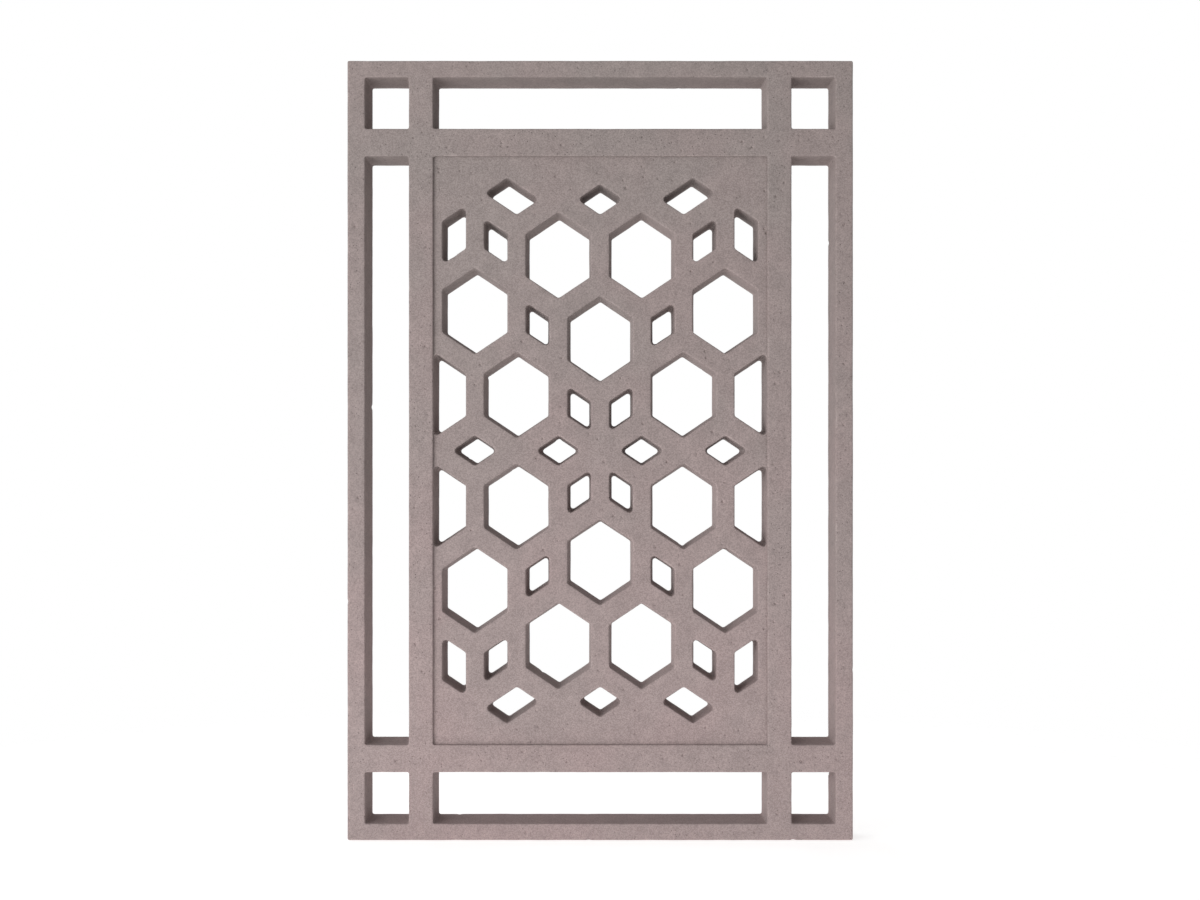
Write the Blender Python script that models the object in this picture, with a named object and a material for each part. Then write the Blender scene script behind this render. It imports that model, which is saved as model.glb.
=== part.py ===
"""Mashrabiya screen in cast stone, built at its real size.

Two castings: a frame of crossing bars with eight plain slots, and a pierced lattice panel that drops
into a rebate from the back and lies a little behind the frame's face.  Every opening narrows towards
the back, so that the castings leave their moulds.  Units are metres, +Z is up, the face looks along
-Y, and the origin is the middle of the bottom edge that the screen is bedded on.
"""

from math import hypot, radians

import bmesh
import bpy
from mathutils import Matrix, Vector

# Overall size
SCREEN_WIDTH = 0.650
SCREEN_HEIGHT = 1.002
SCREEN_DEPTH = 0.055

# Frame at its face, across the screen from the outside inwards
OUTER_STILE = 0.0225   # upright bars at the two sides
SIDE_SLOT = 0.0566     # clear width of the slots between outer and inner stiles
INNER_STILE = 0.0309   # upright bars beside the panel; they run through and cross the rails

# Frame at its face, up the screen from the outside inwards
OUTER_RAIL = 0.0214    # level bars at the top and bottom
END_SLOT = 0.0661      # clear height of the slots between outer and inner rails
INNER_RAIL = 0.0352    # level bars above and below the panel, also running through

# How the panel sits in the frame
PANEL_RECESS = 0.004   # the panel's face lies this far behind the frame's face
REBATE = 0.010         # the panel reaches this far behind the inner stiles and rails
JOINT = 0.0003         # bedding joint between the two castings
ARRIS = 0.0015         # small chamfer that the mould leaves on the edges
DRAFT = 0.060          # how much every wall of an opening closes in, per unit of depth

# Lattice of hexagons and lozenges, at the panel's face
UPRIGHT_BAR = 0.0232   # width of the lattice's upright bars
SLANTED_BAR = 0.0270   # width of its slanted bars, measured square to them
UNITS_ACROSS = 8       # lattice units across the clear field
LATTICE_UNIT_Z = 0.0719
STAR_REACH = 6         # |x| / 2 + |z| along the lattice's outer edge, in lattice units

# Tile outlines in lattice units, about the tile's own centre
HEXAGON = [(0, 1), (-1, 0.5), (-1, -0.5), (0, -1), (1, -0.5), (1, 0.5)]
HALF_HEXAGON = [(0, 1), (-1, 0.5), (-1, -0.5), (0, -1)]
FLAT_LOZENGE = [(1, 0), (0, 0.5), (-1, 0), (0, -0.5)]
RISING_LOZENGE = [(-0.5, -0.75), (0.5, -0.25), (0.5, 0.75), (-0.5, 0.25)]
FALLING_LOZENGE = [(-x, z) for x, z in RISING_LOZENGE]

# Tile centres in the upper right quarter of the field, which the other three quarters mirror
QUARTER_TILES = [
    (HEXAGON, [(0, 2), (2, 1), (3, 2.5), (1, 3.5)]),
    (HALF_HEXAGON, [(4, 1)]),
    (FLAT_LOZENGE, [(1, 0), (3, 0), (0, 4.5), (2, 4.5)]),
    (RISING_LOZENGE, [(0.5, 0.75), (1.5, 2.25), (2.5, 3.75)]),
    (FALLING_LOZENGE, [(3.5, 3.75)]),
]

STONE_COLOUR = (0.376, 0.305, 0.292, 1.0)
STONE_ROUGHNESS = 0.9
TOLERANCE = 0.00001

FIELD_WIDTH = SCREEN_WIDTH - 2 * (OUTER_STILE + SIDE_SLOT + INNER_STILE)
FIELD_HEIGHT = SCREEN_HEIGHT - 2 * (OUTER_RAIL + END_SLOT + INNER_RAIL)
LATTICE_UNIT_X = FIELD_WIDTH / UNITS_ACROSS
MID_HEIGHT = SCREEN_HEIGHT / 2
FACE = -SCREEN_DEPTH / 2
PANEL_DEPTH = PANEL_RECESS + JOINT     # of the panel's face behind the frame's face


def clear_scene():
    for obj in list(bpy.data.objects):
        bpy.data.objects.remove(obj, do_unlink=True)


def make_collection(name):
    collection = bpy.data.collections.new(name)
    bpy.context.scene.collection.children.link(collection)
    return collection


def cast_stone(name):
    """A matt stone material; each casting has its own."""
    material = bpy.data.materials.new(name)
    material.use_nodes = True
    shader = material.node_tree.nodes["Principled BSDF"]
    shader.inputs["Base Color"].default_value = STONE_COLOUR
    shader.inputs["Roughness"].default_value = STONE_ROUGHNESS
    shader.inputs["Metallic"].default_value = 0.0
    return material


# Outlines: lists of (x, z) corners that run anticlockwise as seen from the front

def rectangle(x_low, x_high, z_low, z_high):
    return [(x_low, z_low), (x_high, z_low), (x_high, z_high), (x_low, z_high)]


def field_rectangle(margin):
    """The clear field between stiles and rails, grown all round by a margin."""
    half_width = FIELD_WIDTH / 2 + margin
    half_height = FIELD_HEIGHT / 2 + margin
    return rectangle(-half_width, half_width, MID_HEIGHT - half_height, MID_HEIGHT + half_height)


def anticlockwise(outline):
    following = outline[1:] + outline[:1]
    doubled_area = sum(x0 * z1 - x1 * z0 for (x0, z0), (x1, z1) in zip(outline, following))
    return outline if doubled_area > 0 else outline[::-1]


def edge_line(start, end, inset):
    """The line (a, b, c), a x + b z = c, of an anticlockwise edge moved inwards by an inset."""
    run_x, run_z = end[0] - start[0], end[1] - start[1]
    length = hypot(run_x, run_z)
    a, b = -run_z / length, run_x / length
    return a, b, a * start[0] + b * start[1] + inset


def crossing(line, other):
    a0, b0, c0 = line
    a1, b1, c1 = other
    scale = a0 * b1 - a1 * b0
    return (c0 * b1 - c1 * b0) / scale, (a0 * c1 - a1 * c0) / scale


def on_outer_edge(corner):
    x, z = corner
    return abs(abs(x) / 2 + abs(z) - STAR_REACH) < TOLERANCE


def side_inset(start, end, depth):
    """How far a tile's opening stays inside one of its sides, at a depth behind the frame's face.

    The long side, where a half hexagon is cut, carries on the wall of the frame, and the plain margin
    outside the lattice has no bar either.
    """
    upright = abs(start[0] - end[0]) < TOLERANCE
    if upright and abs(start[1] - end[1]) > 1 + TOLERANCE:
        return DRAFT * depth
    closed_in = DRAFT * (depth - PANEL_DEPTH)
    if on_outer_edge(start) and on_outer_edge(end):
        return closed_in
    return closed_in + (UPRIGHT_BAR if upright else SLANTED_BAR) / 2


def tile_opening(tile, depth):
    """The clear opening that the bars on each side leave of a tile."""
    tile = anticlockwise(tile)
    metres = [(x * LATTICE_UNIT_X, MID_HEIGHT + z * LATTICE_UNIT_Z) for x, z in tile]
    sides = []
    for i in range(len(tile)):
        j = (i + 1) % len(tile)
        sides.append(edge_line(metres[i], metres[j], side_inset(tile[i], tile[j], depth)))
    return [crossing(sides[i - 1], sides[i]) for i in range(len(sides))]


def lattice_openings(depth):
    """Openings of the whole field: each quarter tile and its mirror images, without repeats."""
    openings = []
    for outline, centres in QUARTER_TILES:
        for centre_x, centre_z in centres:
            for side in (1, -1) if centre_x else (1,):
                for level in (1, -1) if centre_z else (1,):
                    tile = [(side * (centre_x + x), level * (centre_z + z)) for x, z in outline]
                    openings.append(tile_opening(tile, depth))
    return openings


def bands(field, bar, slot):
    """Low and high ends of the near slot, the field and the far slot along one axis."""
    slot_start = field / 2 + bar
    slot_end = slot_start + slot
    return [(-slot_end, -slot_start), (-field / 2, field / 2), (slot_start, slot_end)]


def frame_openings(depth):
    """The field and the eight slots between the crossing bars and the outer bars."""
    columns = bands(FIELD_WIDTH, INNER_STILE, SIDE_SLOT)
    rows = bands(FIELD_HEIGHT, INNER_RAIL, END_SLOT)
    inset = DRAFT * depth
    return [
        rectangle(x_low + inset, x_high - inset, MID_HEIGHT + z_low + inset, MID_HEIGHT + z_high - inset)
        for x_low, x_high in columns
        for z_low, z_high in rows
    ]


# Solids

def outline_curve(name, outline, openings, thickness):
    """A flat filled curve with thickness and a chamfer on the edges of both faces.

    The outline runs clockwise and the openings anticlockwise, so that the offset, which makes room
    for the chamfer, goes into the stone on all of them.
    """
    curve = bpy.data.curves.new(name, "CURVE")
    curve.dimensions = "2D"
    curve.fill_mode = "BOTH"
    curve.extrude = thickness / 2 - ARRIS
    curve.bevel_depth = ARRIS
    curve.bevel_resolution = 0
    curve.offset = -ARRIS
    for loop in [anticlockwise(outline)[::-1]] + [anticlockwise(opening) for opening in openings]:
        spline = curve.splines.new("POLY")
        spline.points.add(len(loop) - 1)
        for point, (x, z) in zip(spline.points, loop):
            point.co = (x, z, 0, 1)
        spline.use_cyclic_u = True
    return curve


def close_in(work, outline, openings, back_openings):
    """Give the walls their draft: the corners of the slab's back move to their places there."""
    moves = [(Vector(corner), Vector((0, 0))) for corner in outline]
    for opening, back_opening in zip(openings, back_openings):
        for corner, back_corner in zip(opening, back_opening):
            moves.append((Vector(corner), Vector(back_corner) - Vector(corner)))
    for vert in work.verts:
        if vert.co.z < 0:
            place = vert.co.xy
            corner, move = min(moves, key=lambda pair: (pair[0] - place).length_squared)
            vert.co.xy = place + move


def casting(name, outline, openings_at, depth, collection):
    """A pierced slab from a depth to the back, drawn flat and stood up so that it faces -Y."""
    openings = openings_at(depth)
    curve = outline_curve(name + "_outline", outline, openings, SCREEN_DEPTH - depth)
    drawn = bpy.data.objects.new(curve.name, curve)
    collection.objects.link(drawn)
    upright = Matrix.Rotation(radians(90), 4, "X")
    drawn.matrix_world = Matrix.Translation((0, depth / 2, 0)) @ upright
    bpy.context.view_layer.update()
    evaluated = drawn.evaluated_get(bpy.context.evaluated_depsgraph_get())
    mesh = bpy.data.meshes.new_from_object(evaluated)
    mesh.name = name
    mesh.materials.clear()
    mesh.materials.append(cast_stone(name + "_stone"))

    # The curve's caps come loose from its sides, so they are welded, and the triangles that fill
    # them are turned until none is a sliver
    work = bmesh.new()
    work.from_mesh(mesh)
    bmesh.ops.remove_doubles(work, verts=work.verts, dist=TOLERANCE)
    close_in(work, outline, openings, openings_at(SCREEN_DEPTH))
    triangles = [face for face in work.faces if len(face.verts) == 3]
    filled = set(triangles)
    inner_edges = [edge for edge in work.edges if filled.issuperset(edge.link_faces)]
    bmesh.ops.beautify_fill(work, faces=triangles, edges=inner_edges, method="AREA")
    work.to_mesh(mesh)
    work.free()

    solid = bpy.data.objects.new(name, mesh)
    solid.matrix_world = drawn.matrix_world
    collection.objects.link(solid)
    bpy.data.objects.remove(drawn, do_unlink=True)
    return solid


def cut_rebate(frame, collection):
    """Sink the panel's seat into the frame from the back, which leaves a lip round the field."""
    depth = 2 * (SCREEN_DEPTH - PANEL_RECESS)
    bpy.ops.mesh.primitive_cube_add(size=1, location=(0, FACE + PANEL_RECESS + depth / 2, MID_HEIGHT))
    cutter = bpy.context.object
    cutter.name = "rebate_cutter"
    cutter.scale = (FIELD_WIDTH + 2 * REBATE, depth, FIELD_HEIGHT + 2 * REBATE)
    cutter.hide_render = True
    cutter.display_type = "WIRE"
    for holder in list(cutter.users_collection):
        holder.objects.unlink(cutter)
    collection.objects.link(cutter)

    cut = frame.modifiers.new("rebate", "BOOLEAN")
    cut.operation = "DIFFERENCE"
    cut.solver = "EXACT"
    cut.object = cutter


def build():
    clear_scene()
    parts = make_collection("mashrabiya_screen")
    cutters = make_collection("cutters")

    outer = rectangle(-SCREEN_WIDTH / 2, SCREEN_WIDTH / 2, 0, SCREEN_HEIGHT)
    frame = casting("frame", outer, frame_openings, 0, parts)
    cut_rebate(frame, cutters)

    panel = field_rectangle(REBATE - JOINT)
    casting("lattice_panel", panel, lattice_openings, PANEL_DEPTH, parts)


build()
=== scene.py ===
import math
import random

import bmesh
import bpy
import numpy as np
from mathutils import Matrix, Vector, geometry, kdtree, noise


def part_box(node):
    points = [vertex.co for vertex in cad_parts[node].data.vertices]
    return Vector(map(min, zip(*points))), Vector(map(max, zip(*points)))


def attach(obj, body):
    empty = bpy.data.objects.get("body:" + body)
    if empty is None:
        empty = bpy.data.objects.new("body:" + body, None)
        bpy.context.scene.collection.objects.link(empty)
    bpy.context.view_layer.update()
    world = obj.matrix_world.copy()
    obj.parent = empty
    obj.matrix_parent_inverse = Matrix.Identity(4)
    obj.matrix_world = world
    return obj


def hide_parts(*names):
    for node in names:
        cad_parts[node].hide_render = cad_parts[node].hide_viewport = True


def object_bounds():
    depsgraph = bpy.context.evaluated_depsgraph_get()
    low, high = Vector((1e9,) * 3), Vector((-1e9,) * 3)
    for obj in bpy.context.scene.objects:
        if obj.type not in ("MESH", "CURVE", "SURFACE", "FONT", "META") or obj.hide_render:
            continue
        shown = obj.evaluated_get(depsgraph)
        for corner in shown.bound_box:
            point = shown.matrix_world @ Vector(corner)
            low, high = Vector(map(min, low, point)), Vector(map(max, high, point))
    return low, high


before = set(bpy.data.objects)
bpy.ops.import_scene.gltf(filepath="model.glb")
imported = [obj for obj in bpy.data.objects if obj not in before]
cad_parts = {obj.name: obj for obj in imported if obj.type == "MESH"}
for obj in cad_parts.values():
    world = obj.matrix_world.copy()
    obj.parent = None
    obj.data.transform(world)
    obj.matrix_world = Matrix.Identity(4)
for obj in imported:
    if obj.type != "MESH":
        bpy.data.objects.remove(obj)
cadLow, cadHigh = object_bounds()
middle = (cadLow + cadHigh) / 2
print("parts loaded:", ", ".join(sorted(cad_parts)))

weldGap = 0.00001       # points nearer than this become one
straightTurn = 0.01     # a corner that turns less than this is left out
cornerSteps = 3         # facets round the corner of an opening
leastCorner = 0.0003    # smallest rounding in a corner
mostGrowth = 0.005      # most that a corner's rounding changes through the thickness
roundSteps = 4          # facets across a rounded edge
margin = 0.35           # width of the strip along the rim of a flat face, in spacings
jointWidth = 0.0003     # between the panel and its seat in the frame

# how cast stone departs from true planes and edges, always into the stone (metres)
castRelief = {
    "swell": 0.00020,       # broad unevenness left by the mould
    "swellSize": 0.11,
    "ripple": 0.00010,      # finer unevenness
    "rippleSize": 0.018,
    "floated": 0.00045,     # extra on the back, which is floated by hand
    "floatedSize": 0.040,
    "edgeWear": 0.0006,     # softening of the edges, in patches
    "edgeWearReach": 0.0032,
    "edgeWearSize": 0.028,
    "edgeWearShare": 0.45,  # more gives wear along more of the edges
    "chipDepth": 0.42,      # share of a chip's radius
    "chipRough": 0.002,     # size of the roughness inside a chip
}

# air holes left on the faces
airHoles = {
    "radius": 0.0006,       # of the smallest
    "larger": 0.0011,       # most that is added to it
    "rarity": 2.5,          # how seldom holes are large
    "clearance": 3.0,       # from any edge, in radii
    "leastGap": 0.001,      # and this much more
    "sides": 8,
    "uneven": 0.14,
    "twist": 900,           # turns the unevenness from hole to hole
    "rings": ((1.35, 0.0), (1.0, 0.12), (0.66, 0.75)),  # shares of the radius and of the depth
}

# painted shade on the inner walls, partly soil that settles there
paintedShadeAndSoil = {
    "walls": 0.62,
    # more painted shade and soil on walls facing up
    "ledges": 0.25,
    "patches": 0.25,
    "patchSize": 0.06,
    "faceLimit": 1.4,       # how soon it ends where a wall turns into a face
}


# outlines, read from the parts so that the castings keep their form

# closed loops of (x, z) corners where an upright plane at this depth cuts a part, largest first
def sectionLoops(partName, depth):
    work = bmesh.new()
    work.from_mesh(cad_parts[partName].data)
    bmesh.ops.remove_doubles(work, verts=work.verts, dist=weldGap)
    everything = work.verts[:] + work.edges[:] + work.faces[:]
    cut = bmesh.ops.bisect_plane(work, geom=everything, plane_co=(0, depth, 0), plane_no=(0, 1, 0))
    neighbours = {}
    for item in cut["geom_cut"]:
        if isinstance(item, bmesh.types.BMEdge):
            a, b = item.verts
            neighbours.setdefault(a, []).append(b)
            neighbours.setdefault(b, []).append(a)
    loops = []
    while neighbours:
        here, loop = next(iter(neighbours)), []
        while here in neighbours:
            loop.append((here.co.x, here.co.z))
            onward = [v for v in neighbours.pop(here) if v in neighbours]
            here = onward[0] if onward else None
        loops.append(withoutStraightPoints(loop))
    work.free()
    loops.sort(key=lambda loop: -abs(signedArea(loop)))
    return loops


def withoutStraightPoints(loop):
    kept = []
    for i, point in enumerate(loop):
        here = Vector(point)
        wayIn = (here - Vector(loop[i - 1])).normalized()
        wayOut = (Vector(loop[(i + 1) % len(loop)]) - here).normalized()
        if abs(wayIn.cross(wayOut)) > straightTurn:
            kept.append(point)
    return kept


def signedArea(loop):
    return sum(a[0] * b[1] - b[0] * a[1] for a, b in zip(loop, loop[1:] + loop[:1])) / 2


# outline anticlockwise and openings clockwise, so that the stone is always on the left
def stoneOnLeft(loops):
    outline, openings = loops[0], loops[1:]
    turned = [outline if signedArea(outline) > 0 else outline[::-1]]
    turned += [loop if signedArea(loop) < 0 else loop[::-1] for loop in openings]
    return turned


# rings of points that make up the edges and walls of a casting

# one ring round a loop, moved into the stone by outset, with rounded corners
def ringPoints(loop, outset, radius, counts):
    corners = [Vector(point) for point in loop]
    size = len(corners)
    ways = [(corners[(i + 1) % size] - corners[i]).normalized() for i in range(size)]
    arcs = []
    for i in range(size):
        wayIn, wayOut = ways[i - 1], ways[i]
        leftIn, leftOut = Vector((-wayIn.y, wayIn.x)), Vector((-wayOut.y, wayOut.x))
        tip = corners[i] + (leftIn + leftOut) * outset / (1 + leftIn.dot(leftOut))
        turn = math.atan2(wayIn.cross(wayOut), wayIn.dot(wayOut))
        towardsHub = leftIn * math.copysign(radius, turn)
        hub = tip - wayIn * radius * math.tan(abs(turn) / 2) + towardsHub
        arc = []
        for step in range(cornerSteps + 1):
            c, s = math.cos(turn * step / cornerSteps), math.sin(turn * step / cornerSteps)
            spoke = -towardsHub
            arc.append(hub + Vector((spoke.x * c - spoke.y * s, spoke.x * s + spoke.y * c)))
        arcs.append(arc)
    ring = []
    for i in range(size):
        start, end = arcs[i][-1], arcs[(i + 1) % size][0]
        ring += arcs[i]
        ring += [start.lerp(end, step / counts[i]) for step in range(1, counts[i])]
    return ring


# (depth, outset) pairs from the face, round its edge, through the stone and out at the back; the
# loop was read at the depth of the cut, an opening closes in from there by its taper, and a seat is
# the step where it widens by the rebate
def wallProfile(face, back, cut, look, taper, skin, seat, rebate):
    arris, backArris = look["arris"], look["backArris"]
    onFace = look["spacing"] * margin
    mouth = taper * (cut - face) - skin
    profile = [(face, mouth + arris + onFace)]
    for step in range(roundSteps + 1):
        angle = math.radians(90 * step / roundSteps)
        profile.append((face + arris * (1 - math.cos(angle)), mouth + arris * (1 - math.sin(angle))))
    start = face + arris
    if rebate:
        lip = taper * (cut - seat) - skin
        lipRound = look["lipRound"]
        profile += [(seat - 3 * lipRound, lip), (seat, lip + lipRound), (seat, rebate * 0.4), (seat, rebate)]
        start, taper, skin = seat, 0, 0
    end = back - backArris
    rows = max(2, round((end - start) / look["wallSpacing"]))
    for row in range(1, rows):
        depth = start + (end - start) * row / rows
        profile.append((depth, rebate + taper * (cut - depth) - skin))
    foot = rebate + taper * (cut - back) - skin
    for step in range(roundSteps + 1):
        angle = math.radians(90 * step / roundSteps)
        profile.append((back - backArris * (1 - math.sin(angle)), foot + backArris * (1 - math.cos(angle))))
    profile.append((back, foot + backArris + onFace))
    return profile


# flat faces, filled with a loose net of points

netting = {
    "jitter": 0.22,         # of each point, in spacings
    "offEdges": 0.62,       # kept clear along the edges, in spacings
    "offHoles": 1.9,        # kept clear round the air holes, in radii
    "tolerance": 1e-7,
}


def insideRing(points, ring):
    x, z = points[:, 0], points[:, 1]
    inside = np.zeros(len(points), bool)
    for (x0, z0), (x1, z1) in zip(ring, np.roll(ring, -1, axis=0)):
        crosses = (z0 > z) != (z1 > z)
        if crosses.any():
            inside[crosses] ^= x[crosses] < x0 + (z[crosses] - z0) / (z1 - z0) * (x1 - x0)
    return inside


def insideStone(points, rings):
    kept = insideRing(points, rings[0])
    for ring in rings[1:]:
        kept &= ~insideRing(points, ring)
    return kept


# air holes as (x, z, radius), clear of the edges
def scatterHoles(count, rings, edgeTree, rng):
    low, high = rings[0].min(0), rings[0].max(0)
    holes = []
    while len(holes) < count:
        x, z = rng.uniform(low[0], high[0]), rng.uniform(low[1], high[1])
        radius = airHoles["radius"] + airHoles["larger"] * rng.random() ** airHoles["rarity"]
        gap = edgeTree.find((x, z, 0))[2]
        clear = gap > radius * airHoles["clearance"] + airHoles["leastGap"]
        if clear and insideStone(np.array([(x, z)]), rings)[0]:
            holes.append((x, z, radius))
    return holes


# a loose triangular net of points over the stone, clear of the edges and of the air holes
def scatterPoints(rings, spacing, edgeTree, holes, rng):
    low, high = rings[0].min(0), rings[0].max(0)
    columns, rows = ((high - low) / spacing).astype(int) + 1
    jitter = netting["jitter"]
    net = []
    for row in range(rows):
        for column in range(columns):
            across = column + 0.5 * (row % 2) + rng.uniform(-jitter, jitter)
            up = row + rng.uniform(-jitter, jitter)
            net.append((low[0] + across * spacing, low[1] + up * spacing))
    net = np.array(net)
    kept = []
    for x, z in net[insideStone(net, rings)]:
        offEdges = edgeTree.find((x, z, 0))[2] > spacing * netting["offEdges"]
        offHoles = all(math.hypot(x - holeX, z - holeZ) > radius * netting["offHoles"]
                       for holeX, holeZ, radius in holes)
        if offEdges and offHoles:
            kept.append((x, z))
    return kept


# points, triangles and hollow depths that fill the stone between the rings
def fillFlat(rings, spacing, holeCount, rng):
    rings = [np.array([tuple(point) for point in ring]) for ring in rings]
    border = np.concatenate(rings)
    edgeTree = kdtree.KDTree(len(border))
    for i, (x, z) in enumerate(border):
        edgeTree.insert((x, z, 0), i)
    edgeTree.balance()
    holes = scatterHoles(holeCount, rings, edgeTree, rng)
    points = [tuple(point) for point in border]
    points += scatterPoints(rings, spacing, edgeTree, holes, rng)
    sunk = {}
    for x, z, radius in holes:
        for share, depth in airHoles["rings"]:
            for side in range(airHoles["sides"]):
                angle = math.tau * side / airHoles["sides"] + share
                uneven = airHoles["uneven"] * math.sin(3 * angle + x * airHoles["twist"])
                reach = share * radius * (1 + uneven)
                sunk[len(points)] = depth * radius
                points.append((x + reach * math.cos(angle), z + reach * math.sin(angle)))
        sunk[len(points)] = radius
        points.append((x, z))

    edges, first = [], 0
    for ring in rings:
        edges += [(first + i, first + (i + 1) % len(ring)) for i in range(len(ring))]
        first += len(ring)
    found = geometry.delaunay_2d_cdt([Vector(point) for point in points], edges, [], 0,
                                     netting["tolerance"])
    flat, triangles = np.array([tuple(v) for v in found[0]]), np.array(found[2])
    triangles = triangles[insideStone(flat[triangles].mean(axis=1), rings)]
    hollow = [max((sunk.get(source, 0) for source in sources), default=0) for sources in found[3]]
    return flat, triangles, hollow


# the whole surface of one casting

def makeCasting(name, loops, cut, face, back, look, rebates=None):
    rng = random.Random(look["seed"])
    loops = stoneOnLeft(loops)
    verts, faces, faceRings, backRings, edges = [], [], [], [], []
    # edges and walls, ring by ring from the face to the back
    for number, loop in enumerate(loops):
        seat, rebate = (rebates or {}).get(number, (None, 0))
        taper, skin = (look["taper"], look["skin"]) if number else (0, 0)
        sides = zip(loop, loop[1:] + loop[:1])
        counts = [max(2, round(math.dist(a, b) / look["spacing"])) for a, b in sides]
        start, rings = len(verts), []
        for depth, outset in wallProfile(face, back, cut, look, taper, skin, seat, rebate):
            growth = min(max(outset, 0), mostGrowth) * (1 if number else -1)
            ring = ringPoints(loop, outset, max(leastCorner, look["corner"] + growth), counts)
            verts += [(point.x, depth, point.y) for point in ring]
            rings.append(ring)
        faceRings.append(rings[0])
        backRings.append(rings[-1])
        edges += [Vector((point.x, face, point.y)) for point in rings[1 + roundSteps]]
        edges += [Vector((point.x, back, point.y)) for point in rings[-2 - roundSteps]]
        size = len(rings[0])
        for row in range(len(rings) - 1):
            for i in range(size):
                a, b = start + row * size + i, start + row * size + (i + 1) % size
                faces.append((a, b, b + size, a + size))
    # flat faces between the innermost rings
    for rings, depth, spacing, holeCount, inward in (
            (faceRings, face, look["faceSpacing"], look["holes"], 1),
            (backRings, back, look["backSpacing"], look["backHoles"], -1)):
        flat, triangles, hollow = fillFlat(rings, spacing, holeCount, rng)
        start = len(verts)
        verts += [(x, depth + inward * sunk, z) for (x, z), sunk in zip(flat, hollow)]
        faces += [tuple(start + int(i) for i in triangle[::inward]) for triangle in triangles]

    mesh = bpy.data.meshes.new(name)
    mesh.from_pydata(verts, [], faces)
    work = bmesh.new()
    work.from_mesh(mesh)
    bmesh.ops.remove_doubles(work, verts=work.verts, dist=weldGap)
    bmesh.ops.recalc_face_normals(work, faces=work.faces)
    weatherAndPaintShade(work, edges, look, rng)
    work.to_mesh(mesh)
    work.free()
    mesh.shade_smooth()
    casting = bpy.data.objects.new(name, mesh)
    bpy.context.scene.collection.objects.link(casting)
    print(name, "made:", len(mesh.vertices), "points,", len(mesh.polygons), "faces")
    return casting


# sinks the surface as moulding and age do, and notes what is worn (with a painted highlight), darkened by
# painted shade and soil, or floated
def weatherAndPaintShade(work, edges, look, rng):
    relief = castRelief
    tree = kdtree.KDTree(len(edges))
    for i, point in enumerate(edges):
        tree.insert(point, i)
    tree.balance()
    chips = [(rng.choice(edges), rng.uniform(*look["chipRadius"])) for _ in range(look["chips"])]
    wearAndHighlightLayer = work.verts.layers.float.new("wearAndHighlight")
    shadeAndSoilLayer = work.verts.layers.float.new("shadeAndSoil")
    floatedLayer = work.verts.layers.float.new("floated")
    offset = Vector((look["seed"] * 7.3, look["seed"] * 1.7, 0))
    work.normal_update()
    moves = []
    for vert in work.verts:
        place = vert.co + offset
        floated = max(0, vert.normal.y) ** 2
        swell = 0.5 + 0.5 * noise.noise(place / relief["swellSize"])
        ripple = 0.5 + 0.5 * noise.noise(place / relief["rippleSize"])
        lumps = 0.5 + 0.5 * noise.noise(place / relief["floatedSize"])
        close = max(0, 1 - tree.find(vert.co)[2] / relief["edgeWearReach"])
        patches = noise.fractal(place / relief["edgeWearSize"], 1.0, 2.0, 4)
        patchy = max(0, relief["edgeWearShare"] + patches)
        inward = swell * relief["swell"] + ripple * relief["ripple"] + floated * lumps * relief["floated"]
        inward += relief["edgeWear"] * close * close * patchy
        # wear along the edges, which also paints a highlight there
        wearAndHighlight = close * min(1, patchy)
        for centre, radius in chips:
            gap = (vert.co - centre).length
            if gap < radius:
                rough = 0.8 + 0.5 * noise.noise(place / relief["chipRough"])
                bite = (1 - (gap / radius) ** 2) * rough
                inward += relief["chipDepth"] * radius * bite
                wearAndHighlight = max(wearAndHighlight, bite)
        moves.append(vert.normal * -inward)
        # painted shade on the inner walls, more on those facing up, with some soil
        wall = max(0, 1 - abs(vert.normal.y) * paintedShadeAndSoil["faceLimit"])
        shadedAndSoiled = paintedShadeAndSoil["walls"] + paintedShadeAndSoil["ledges"] * max(0, vert.normal.z)
        shadedAndSoiled += paintedShadeAndSoil["patches"] * noise.noise(place / paintedShadeAndSoil["patchSize"])
        vert[wearAndHighlightLayer] = wearAndHighlight
        vert[shadeAndSoilLayer] = wall * shadedAndSoiled
        vert[floatedLayer] = floated
    for vert, move in zip(work.verts, moves):
        vert.co += move


# frame: crossing bars with eight slots, and the seat of the panel cut in from the back

frameLook = {
    "seed": 3,
    "arris": 0.0014,        # rounding of the edges on the face
    "backArris": 0.0012,    # rounding of the edges on the back
    "corner": 0.0022,       # rounding in the corners of the slots
    "taper": 0.060,         # how much the walls close in, per unit of depth
    "skin": 0.0003,         # extra stone on the walls, which weathering takes off again
    "lipRound": 0.0004,     # rounding where the lip meets the panel's seat
    "spacing": 0.0042,      # between points along an edge
    "wallSpacing": 0.0062,  # between points through the thickness
    "faceSpacing": 0.0040,
    "backSpacing": 0.0070,
    "holes": 150,           # air holes on the face
    "backHoles": 90,
    "chips": 30,
    "chipRadius": (0.0018, 0.0044),
}

# read twice: through the lip in front of the panel, and through the seat behind it
panelLow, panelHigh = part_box("lattice_panel")
seatDepth = panelLow.y - jointWidth
lipCut = (cadLow.y + seatDepth) / 2
lipLoops = sectionLoops("frame", lipCut)
seatLoops = sectionLoops("frame", (seatDepth + cadHigh.y) / 2)
fieldNumber = 1         # the largest opening comes next after the outline
seatWidth = max(x for x, z in seatLoops[fieldNumber]) - max(x for x, z in lipLoops[fieldNumber])
frameCasting = makeCasting("frame_casting", lipLoops, lipCut, cadLow.y, cadHigh.y, frameLook,
                           rebates={fieldNumber: (seatDepth, seatWidth)})
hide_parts("frame")
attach(frameCasting, "root")

# panel pierced with hexagons and lozenges

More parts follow.
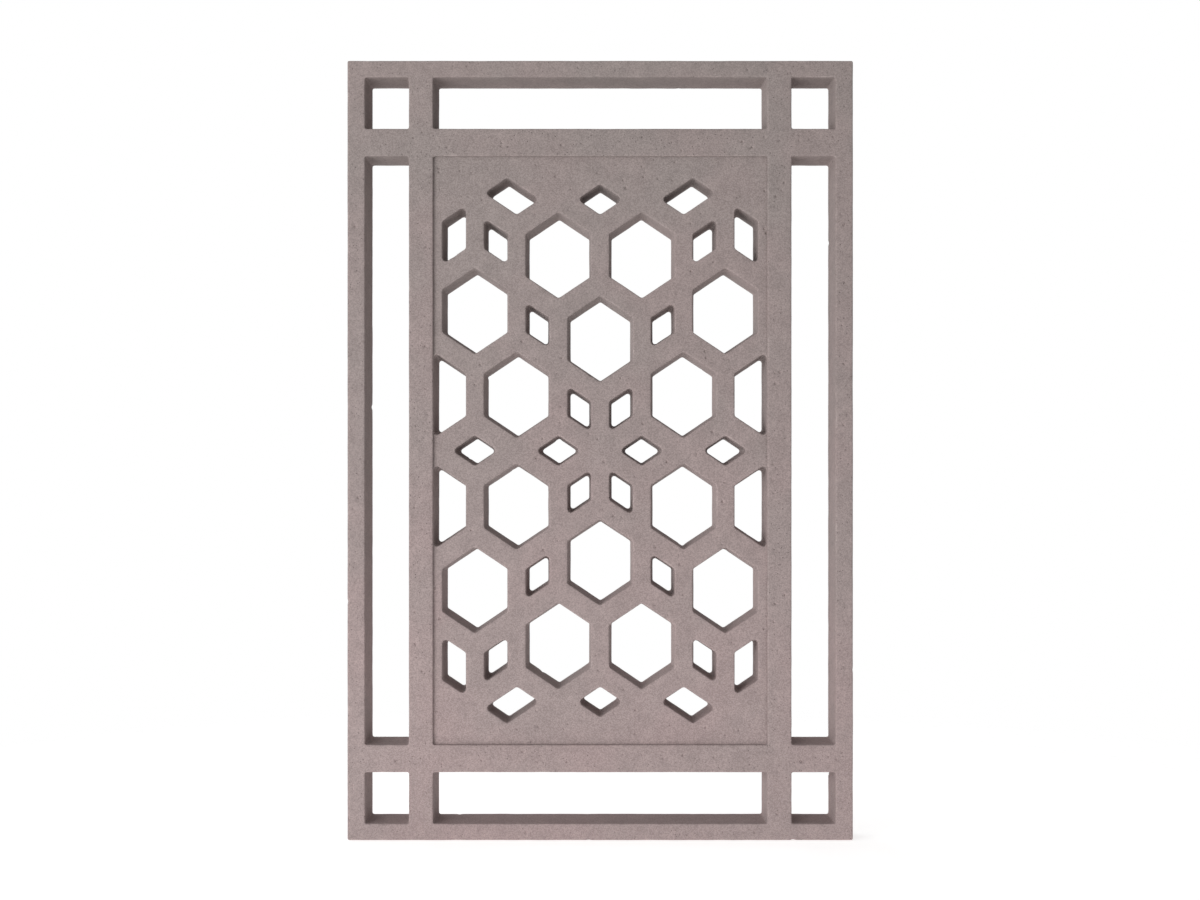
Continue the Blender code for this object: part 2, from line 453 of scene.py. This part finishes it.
latticeLook = {
    "seed": 8,
    "arris": 0.0015,
    "backArris": 0.0012,
    "corner": 0.0030,
    "taper": 0.060,
    "skin": 0.0003,
    "spacing": 0.0034,
    "wallSpacing": 0.0058,
    "faceSpacing": 0.0037,
    "backSpacing": 0.0060,
    "holes": 170,
    "backHoles": 110,
    "chips": 40,
    "chipRadius": (0.0018, 0.0042),
}

latticeCut = (panelLow.y + panelHigh.y) / 2
latticeLoops = sectionLoops("lattice_panel", latticeCut)
latticeCasting = makeCasting("lattice_casting", latticeLoops, latticeCut, panelLow.y, panelHigh.y,
                             latticeLook)
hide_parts("lattice_panel")
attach(latticeCasting, "root")


# helpers for shader nodes

def addNode(tree, kind, **inputs):
    node = tree.nodes.new(kind)
    for name, value in inputs.items():
        node.inputs[name].default_value = value
    return node


def feed(tree, socket, value):
    if isinstance(value, bpy.types.NodeSocket):
        tree.links.new(value, socket)
    elif isinstance(value, tuple):
        socket.default_value = (*value, 1)
    elif value is not None:
        socket.default_value = value


def mixColour(tree, factor, first, second, blend="MIX"):
    node = tree.nodes.new("ShaderNodeMix")
    node.data_type = "RGBA"
    node.blend_type = blend
    feed(tree, node.inputs[0], factor)
    feed(tree, node.inputs[6], first)
    feed(tree, node.inputs[7], second)
    return node.outputs[2]


def maths(tree, operation, *values, clamp=False):
    node = tree.nodes.new("ShaderNodeMath")
    node.operation = operation
    node.use_clamp = clamp
    for socket, value in zip(node.inputs, values):
        feed(tree, socket, value)
    return node.outputs[0]


# smooth step of a value from one range to another
def spread(tree, value, low, high, newLow=0.0, newHigh=1.0):
    node = tree.nodes.new("ShaderNodeMapRange")
    node.interpolation_type = "SMOOTHSTEP"
    for socket, number in zip(list(node.inputs)[:5], (value, low, high, newLow, newHigh)):
        feed(tree, socket, number)
    return node.outputs[0]


def attribute(tree, name):
    node = tree.nodes.new("ShaderNodeAttribute")
    node.attribute_name = name
    return node.outputs["Fac"]


# cast stone

stoneLook = {
    "mauve": (0.407, 0.309, 0.304),
    "grey": (0.357, 0.297, 0.288),
    "head": (0.330, 0.289, 0.273),      # duller towards the head of the screen
    "foot": (0.406, 0.317, 0.311),      # warmer towards its foot
    # colour of the painted shade and soil on the inner walls
    "shadeAndSoil": (0.200, 0.160, 0.152),
    # lighter colour of the worn edges, partly a painted highlight
    "wornAndHighlight": (0.500, 0.425, 0.408),
    "drift": 0.6,                       # share of the change from head to foot
    "driftEnds": (0.15, 1.35),          # heights where it begins and ends
    "cloudSize": 0.16,
    "cloudEdges": (0.36, 0.64),         # closer together gives harder clouds
    "mottleSize": 0.022,
    "mottleStrength": 0.07,
    "grainSize": 0.0011,
    "grainStrength": 0.16,
    "pinholeSize": 0.0045,
    "pinholeRarity": (0.80, 0.84),
    "pinholeEdges": (0.07, 0.16),
    # painted shade inside the pinholes
    "pinholeShade": 0.55,
    # how strongly the painted shade and soil darken the walls
    "shadeAndSoilStrength": 0.27,
    # how strongly wear and the painted highlight lighten the edges
    "wearAndHighlightStrength": 0.5,
    "wearAndHighlightEdges": (0.25, 0.9),
    "roughness": 0.93,
    "shine": 0.28,
    "grainRelief": (0.00022, 0.5),      # depth and strength of the marks in relief
    "mottleRelief": (0.0009, 0.6),
    "pinholeRelief": (0.0008, 0.9),
    "floatRelief": (0.0007, 0.7),
    "floatSweeps": 11.0,                # how many sweeps of the float
}


def castStone(name, look, shift):
    material = bpy.data.materials.new(name)
    material.use_nodes = True
    tree = material.node_tree
    shader = tree.nodes["Principled BSDF"]
    own = tree.nodes.new("ShaderNodeTexCoord").outputs["Object"]
    moved = tree.nodes.new("ShaderNodeMapping")
    moved.inputs["Location"].default_value = shift
    feed(tree, moved.inputs[0], own)

    def cloud(size, detail, roughness=0.55):
        node = addNode(tree, "ShaderNodeTexNoise", Scale=1 / size, Detail=detail, Roughness=roughness)
        feed(tree, node.inputs["Vector"], moved.outputs[0])
        return node.outputs["Fac"]

    def cells(size, feature="F1"):
        node = addNode(tree, "ShaderNodeTexVoronoi", Scale=1 / size)
        node.feature = feature
        feed(tree, node.inputs["Vector"], moved.outputs[0])
        return node

    def part(colour, index):
        node = tree.nodes.new("ShaderNodeSeparateColor")
        feed(tree, node.inputs[0], colour)
        return node.outputs[index]

    # broad clouds of mauve and grey, and the drift from foot to head
    clouds = spread(tree, cloud(look["cloudSize"], 3), *look["cloudEdges"])
    colour = mixColour(tree, clouds, look["grey"], look["mauve"])
    height = tree.nodes.new("ShaderNodeSeparateXYZ")
    feed(tree, height.inputs[0], own)
    uneven = maths(tree, "MULTIPLY_ADD", cloud(look["cloudSize"] * 0.8, 2), 0.5, height.outputs[2])
    drift = mixColour(tree, spread(tree, uneven, *look["driftEnds"]), look["foot"], look["head"])
    colour = mixColour(tree, look["drift"], colour, drift)

    # mottling, sand grains, and pinholes in a few of the larger cells, darkened as painted shade
    mottle = cloud(look["mottleSize"], 5, 0.6)
    grain = spread(tree, part(cells(look["grainSize"]).outputs["Color"], 0), 0.0, 1.0,
                   1 - look["grainStrength"], 1 + look["grainStrength"])
    mottling = spread(tree, mottle, 0.25, 0.75, 1 - look["mottleStrength"], 1 + look["mottleStrength"])
    shade = maths(tree, "MULTIPLY", mottling, grain)
    holes = cells(look["pinholeSize"])
    chosen = spread(tree, part(holes.outputs["Color"], 1), *look["pinholeRarity"])
    within = spread(tree, holes.outputs["Distance"], *look["pinholeEdges"], 1.0, 0.0)
    hole = maths(tree, "MULTIPLY", chosen, within)
    shade = maths(tree, "MULTIPLY", shade, maths(tree, "MULTIPLY_ADD", hole, -look["pinholeShade"], 1.0))

    # painted shade and soil on the inner walls, wear and a painted highlight on the edges
    shadeAndSoil = maths(tree, "MULTIPLY", attribute(tree, "shadeAndSoil"), look["shadeAndSoilStrength"], clamp=True)
    colour = mixColour(tree, shadeAndSoil, colour, look["shadeAndSoil"])
    wornAndHighlight = maths(tree, "MULTIPLY", spread(tree, attribute(tree, "wearAndHighlight"), *look["wearAndHighlightEdges"]),
                 spread(tree, mottle, 0.35, 0.6, 0.0, look["wearAndHighlightStrength"]))
    colour = mixColour(tree, wornAndHighlight, colour, look["wornAndHighlight"])
    neutral = tree.nodes.new("ShaderNodeCombineColor")
    for socket in neutral.inputs[:3]:
        feed(tree, socket, shade)
    feed(tree, shader.inputs["Base Color"], mixColour(tree, 1.0, colour, neutral.outputs[0], "MULTIPLY"))
    feed(tree, shader.inputs["Roughness"],
         spread(tree, mottle, 0.2, 0.8, look["roughness"] - 0.06, look["roughness"] + 0.05))
    shader.inputs["Specular IOR Level"].default_value = look["shine"]

    # the same marks in relief, and the sweeps of the float on the back
    sweeps = addNode(tree, "ShaderNodeTexWave", Scale=look["floatSweeps"], Distortion=9.0, Detail=3.0)
    sweeps.wave_type = "RINGS"
    feed(tree, sweeps.inputs["Vector"], moved.outputs[0])
    floated = maths(tree, "MULTIPLY", attribute(tree, "floated"), sweeps.outputs["Fac"])
    normal = None
    for height, (distance, strength) in (
            (cells(look["grainSize"] * 1.3, "SMOOTH_F1").outputs["Distance"], look["grainRelief"]),
            (mottle, look["mottleRelief"]),
            (maths(tree, "MULTIPLY", hole, -1.0), look["pinholeRelief"]),
            (floated, look["floatRelief"])):
        bump = addNode(tree, "ShaderNodeBump", Strength=strength, Distance=distance)
        feed(tree, bump.inputs["Height"], height)
        feed(tree, bump.inputs["Normal"], normal)
        normal = bump.outputs[0]
    feed(tree, shader.inputs["Normal"], normal)
    return material


frameCasting.data.materials.append(castStone("frame_cast_stone", stoneLook, (0.4, 1.3, 0.2)))
latticeCasting.data.materials.append(castStone("lattice_cast_stone", stoneLook, (2.1, 0.6, 1.7)))
print("stone finished")

# floor, pale, fading out into the white of the room

floorLook = {
    "radius": 2.0,
    "below": 0.0004,        # a hair under the foot of the screen
    "fadeStart": 0.5,
    "fadeEnd": 1.4,
    "pale": (0.91, 0.91, 0.905),
    "paler": (0.87, 0.87, 0.865),
    "cloudSize": 0.35,
    "roughness": (0.78, 0.92),
    "glow": 0.62,
}


def makeFloor(look):
    mesh = bpy.data.meshes.new("floor")
    work = bmesh.new()
    bmesh.ops.create_circle(work, cap_ends=True, segments=96, radius=look["radius"])
    work.to_mesh(mesh)
    work.free()
    floor = bpy.data.objects.new("floor", mesh)
    floor.location.z = -look["below"]
    bpy.context.scene.collection.objects.link(floor)

    material = bpy.data.materials.new("pale_floor")
    material.use_nodes = True
    tree = material.node_tree
    shader = tree.nodes["Principled BSDF"]
    place = tree.nodes.new("ShaderNodeTexCoord").outputs["Object"]
    cloud = addNode(tree, "ShaderNodeTexNoise", Scale=1 / look["cloudSize"], Detail=4)
    feed(tree, cloud.inputs["Vector"], place)
    colour = mixColour(tree, cloud.outputs["Fac"], look["paler"], look["pale"])
    feed(tree, shader.inputs["Base Color"], colour)
    feed(tree, shader.inputs["Roughness"], spread(tree, cloud.outputs["Fac"], 0.2, 0.8, *look["roughness"]))
    shader.inputs["Emission Color"].default_value = (1, 1, 1, 1)
    shader.inputs["Emission Strength"].default_value = look["glow"]
    away = tree.nodes.new("ShaderNodeVectorMath")
    away.operation = "LENGTH"
    feed(tree, away.inputs[0], place)
    clear = tree.nodes.new("ShaderNodeBsdfTransparent")
    blend = tree.nodes.new("ShaderNodeMixShader")
    feed(tree, blend.inputs[0], spread(tree, away.outputs["Value"], look["fadeStart"], look["fadeEnd"]))
    feed(tree, blend.inputs[1], shader.outputs[0])
    feed(tree, blend.inputs[2], clear.outputs[0])
    feed(tree, tree.nodes["Material Output"].inputs[0], blend.outputs[0])
    mesh.materials.append(material)


makeFloor(floorLook)
print("floor laid")

# white room: plain white to look at; as a light it is softer, weaker from the right and from above

roomLook = {
    "seen": 1.0,
    "light": 0.50,
    "darkerRight": 0.55,
    "darkerAbove": 0.17,
}


def makeRoom(look):
    world = bpy.data.worlds.new("room")
    bpy.context.scene.world = world
    world.use_nodes = True
    tree = world.node_tree
    direction = tree.nodes.new("ShaderNodeSeparateXYZ")
    feed(tree, direction.inputs[0], tree.nodes.new("ShaderNodeTexCoord").outputs["Generated"])
    across = maths(tree, "MULTIPLY_ADD", direction.outputs[0], -look["darkerRight"], 1.0)
    shade = maths(tree, "MULTIPLY_ADD", direction.outputs[2], -look["darkerAbove"], across)
    light = maths(tree, "MULTIPLY", shade, look["light"])
    level = tree.nodes.new("ShaderNodeMix")
    feed(tree, level.inputs[0], tree.nodes.new("ShaderNodeLightPath").outputs["Is Camera Ray"])
    feed(tree, level.inputs[2], light)
    feed(tree, level.inputs[3], look["seen"])
    background = tree.nodes["Background"]
    background.inputs[0].default_value = (1, 1, 1, 1)
    feed(tree, background.inputs[1], level.outputs[0])


makeRoom(roomLook)

# soft boxes: the main one at the front left, a weaker one behind on the same side

softBoxes = {
    "main": {"at": (-2.1, -2.4, 0.3), "size": 1.8, "watts": 44},
    "behind": {"at": (-1.5, 2.4, 0.7), "size": 1.8, "watts": 16},
}


def makeSoftBox(name, look):
    data = bpy.data.lights.new(name, "AREA")
    data.size = look["size"]
    data.energy = look["watts"]
    box = bpy.data.objects.new(name, data)
    bpy.context.scene.collection.objects.link(box)
    box.location = look["at"]
    box.rotation_euler = (middle - box.location).to_track_quat("-Z", "Y").to_euler()


for boxName, boxLook in softBoxes.items():
    makeSoftBox("softbox_" + boxName, boxLook)

# camera: squarely in front, a little right of the middle and below it

cameraLook = {
    "aside": 0.0113,
    "above": -0.0405,
    "distance": 2.381,      # from the face
    "lens": 55.6,
    "shiftX": -0.0075,
    "shiftY": 0.0267,
}


def makeCamera(look):
    data = bpy.data.cameras.new("camera")
    data.lens = look["lens"]
    data.shift_x = look["shiftX"]
    data.shift_y = look["shiftY"]
    camera = bpy.data.objects.new("camera", data)
    bpy.context.scene.collection.objects.link(camera)
    camera.location = (middle.x + look["aside"], cadLow.y - look["distance"], middle.z + look["above"])
    camera.rotation_euler = (math.radians(90), 0, 0)
    bpy.context.scene.camera = camera


makeCamera(cameraLook)
bpy.context.scene.view_settings.view_transform = "Standard"
print("light and camera set")
